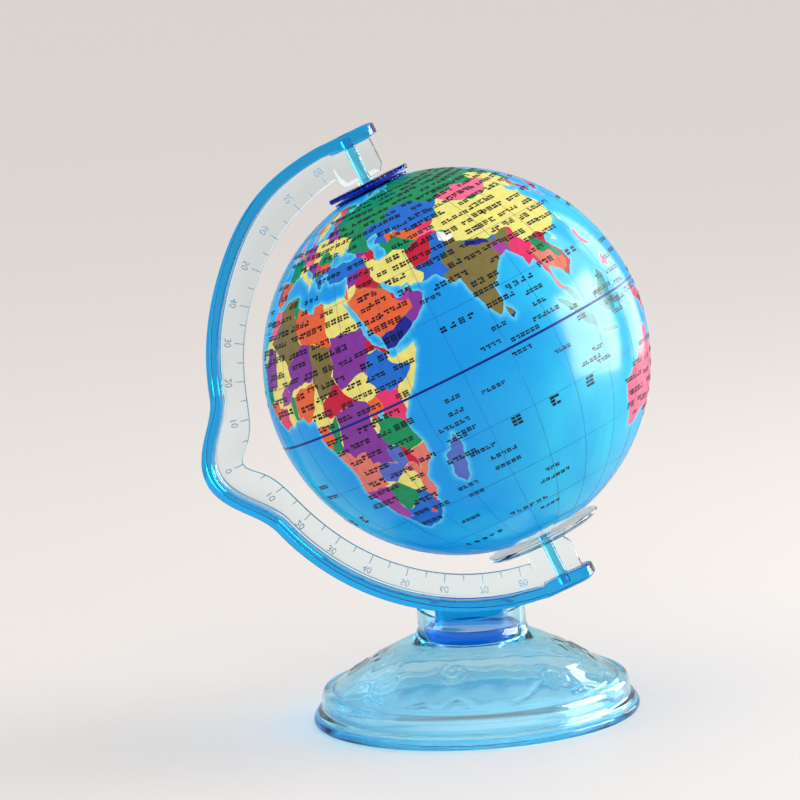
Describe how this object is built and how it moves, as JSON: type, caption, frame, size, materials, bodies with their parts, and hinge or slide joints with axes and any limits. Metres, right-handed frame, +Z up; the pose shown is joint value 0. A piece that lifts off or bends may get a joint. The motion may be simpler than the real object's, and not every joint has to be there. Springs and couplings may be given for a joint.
{
  "type": "desktop globe on stand",
  "caption": "Small terrestrial globe tilted on a clear blue C-shaped meridian arm, standing on a round domed base; the ball spins on its polar pins.",
  "frame": {"origin": "centre of the base's underside, on the surface it stands on", "axes": "+Z up; +X from the arm's curve towards its open side, in the arm's plane; +Y across the arm's flange"},
  "size_m": [0.1673, 0.1416, 0.22],
  "materials": {
    "base_plastic": "clear pale blue, polished",
    "arm_plastic": "clear blue, polished",
    "plug_plastic": "deep clear blue, polished",
    "dial_plastic": "navy, polished",
    "clear_plastic": "colourless, polished",
    "printed_ball": "printed map under gloss",
    "inner_plastic": "unprinted white"
  },
  "bodies": {
    "stand": {"base_tray": "base_plastic", "base_shell": "base_plastic", "neck_plug": "plug_plastic", "meridian_arm": "arm_plastic", "north_pin": "arm_plastic", "south_pin": "arm_plastic", "north_collar": "plug_plastic", "south_collar": "plug_plastic"},
    "ball": {"globe_north_shell": "printed_ball", "globe_south_shell": "printed_ball", "equator_joint_ring": "inner_plastic", "north_hub": "dial_plastic", "south_hub": "clear_plastic", "south_dish": "clear_plastic"},
    "dial": {"north_dial": "dial_plastic"}
  },
  "joints": [
    {"name": "globe_spin", "type": "hinge", "parent": "stand", "child": "ball", "pos_m": [0, 0, 0.1316], "axis": [-0.3987, 0, 0.9171], "continuous": true},
    {"name": "dial_turn", "type": "hinge", "parent": "ball", "child": "dial", "pos_m": [-0.02895, 0, 0.19818], "axis": [-0.3987, 0, 0.9171], "continuous": true}
  ]
}
